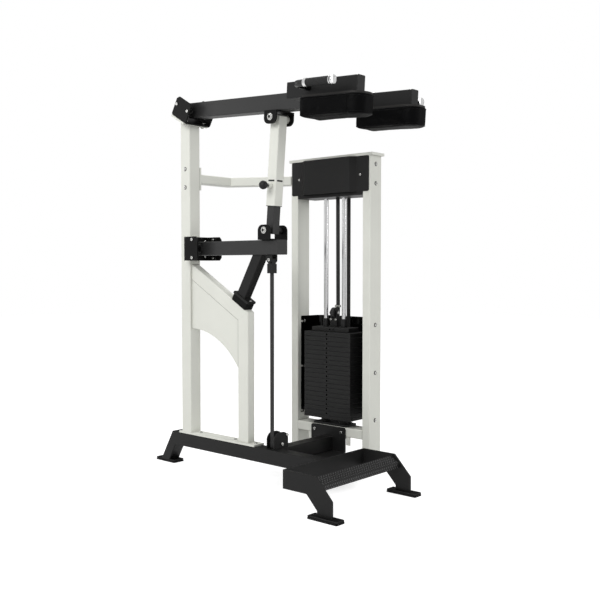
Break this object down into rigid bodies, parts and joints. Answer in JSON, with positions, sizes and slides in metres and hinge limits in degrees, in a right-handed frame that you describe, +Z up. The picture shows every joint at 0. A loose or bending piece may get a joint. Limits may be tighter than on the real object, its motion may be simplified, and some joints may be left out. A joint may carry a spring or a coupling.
{
  "type": "standing calf raise machine",
  "caption": "Plate-stack calf raise machine: step platform, white frame, twin linked levers with padded shoulder arms, and a belt-driven weight tower.",
  "frame": {"origin": "middle of the footprint, on the floor", "axes": "+X from the levers towards the weight tower, +Y from the platform towards the rear post, +Z up"},
  "size_m": [0.9934, 1.675, 2.0459],
  "materials": {
    "white_paint": "satin",
    "black_paint": "satin",
    "weights": "satin paint",
    "chrome": "polished",
    "rubber": "matte",
    "plastic": "matte",
    "upholstery": "soft sheen",
    "board": "matte",
    "belt": "matte"
  },
  "bodies": {
    "frame": {"main_beam": "black_paint", "cross_beam": "black_paint", "foot_plates": "black_paint", "foot_rubbers": "rubber", "platform_frame": "black_paint", "platform_tread": "black_paint", "frame_plates": "white_paint", "rear_post": "white_paint", "front_upright": "white_paint", "slanted_brace": "white_paint", "gusset_panel": "white_paint", "pivot_brackets": "black_paint", "pivot_bearings": "black_paint", "pivot_bolts": "chrome", "belt_run": "belt", "pulley_housing": "black_paint", "rear_pulley_bracket": "black_paint", "tower_uprights": "white_paint", "tower_top_plate": "white_paint", "tower_cross_member": "white_paint", "pulley_carrier": "black_paint", "tower_cover": "black_paint", "rear_shroud": "black_paint", "tie_bar": "white_paint", "guide_rods": "chrome", "weight_plates": "weights", "stack_base": "weights", "frame_bolts": "chrome"},
    "lower_lever": {"lower_lever": "black_paint", "lever_strut": "black_paint", "stop_block": "rubber", "lower_shackle": "black_paint", "belt_lugs": "black_paint", "lever_pins": "chrome"},
    "upper_axle": {"upper_shaft": "chrome"},
    "upper_lever": {"upper_lever": "black_paint", "upper_shackle": "black_paint", "upper_pins": "chrome", "shoulder_arms": "black_paint", "arm_caps": "plastic", "pad_boards": "board", "shoulder_pads": "upholstery", "handle_rods": "black_paint", "handle_grips": "rubber", "handle_caps": "chrome"},
    "link_inner": {"link_inner_tube": "black_paint"},
    "link_outer": {"link_outer_tube": "white_paint", "link_liner": "plastic"},
    "pop_pin": {"pop_pin": "plastic"},
    "belt_clamp": {"clamp_block": "black_paint", "lever_strand": "belt"},
    "weight_head": {"head_plate": "weights", "head_sleeves": "chrome", "head_clevis": "black_paint", "head_bolts": "chrome", "belt_loop": "belt", "stack_strand": "belt"},
    "front_pulley": {"front_pulley": "plastic"},
    "rear_pulley": {"rear_pulley": "plastic"},
    "top_pulley": {"top_pulley": "plastic"}
  },
  "joints": [
    {"name": "lift", "type": "hinge", "parent": "frame", "child": "lower_lever", "pos_m": [-0.14325, 0.45246, 1.217], "axis": [-1, 0, 0], "range_deg": [0, 12]},
    {"name": "upper_swing", "type": "hinge", "parent": "frame", "child": "upper_axle", "pos_m": [-0.14325, 0.52746, 1.98368], "axis": [-1, 0, 0], "range_deg": [0, 9.2]},
    {"name": "upper_adjust", "type": "hinge", "parent": "upper_axle", "child": "upper_lever", "pos_m": [-0.14325, 0.52746, 1.98368], "axis": [-1, 0, 0], "range_deg": [-4.4, 4.4]},
    {"name": "link_swing", "type": "hinge", "parent": "lower_lever", "child": "link_inner", "pos_m": [-0.14325, -0.06554, 1.3025], "axis": [-1, 0, 0], "range_deg": [-16, 0]},
    {"name": "adjust", "type": "slide", "parent": "link_inner", "child": "link_outer", "axis": [0, -0.0803, 0.9968], "range_m": [-0.05, 0.05]},
    {"name": "pop_pin_push", "type": "slide", "parent": "link_outer", "child": "pop_pin", "axis": [1, 0, 0], "range_m": [-0.008, 0.006]},
    {"name": "clamp_rise", "type": "slide", "parent": "frame", "child": "belt_clamp", "axis": [0, 0, 1], "range_m": [0, 0.11], "deforming": ["lever_strand"]},
    {"name": "weight_rise", "type": "slide", "parent": "frame", "child": "weight_head", "axis": [0, 0, 1], "range_m": [0, 0.11], "deforming": ["stack_strand"]},
    {"name": "front_pulley_spin", "type": "hinge", "parent": "frame", "child": "front_pulley", "pos_m": [-0.09845, -0.06054, 0.205], "axis": [0, 1, 0], "range_deg": [0, 140]},
    {"name": "rear_pulley_spin", "type": "hinge", "parent": "frame", "child": "rear_pulley", "pos_m": [0.45295, -0.06054, 0.192], "axis": [0, 1, 0], "range_deg": [0, 197]},
    {"name": "top_pulley_spin", "type": "hinge", "parent": "frame", "child": "top_pulley", "pos_m": [0.43595, -0.06054, 1.597], "axis": [0, 1, 0], "range_deg": [0, 129]}
  ],
  "couplings": [
    {"joint": "upper_swing", "follows": "lift", "ratio": 0.75622},
    {"joint": "link_swing", "follows": "lift", "ratio": -1.3221},
    {"joint": "upper_adjust", "follows": "adjust", "rad_per_m": 1.5157},
    {"joint": "clamp_rise", "follows": "lift", "m_per_rad": 0.516},
    {"joint": "weight_rise", "follows": "lift", "m_per_rad": 0.516},
    {"joint": "front_pulley_spin", "follows": "lift", "ratio": 11.518},
    {"joint": "rear_pulley_spin", "follows": "lift", "ratio": 16.226},
    {"joint": "top_pulley_spin", "follows": "lift", "ratio": 10.574}
  ]
}
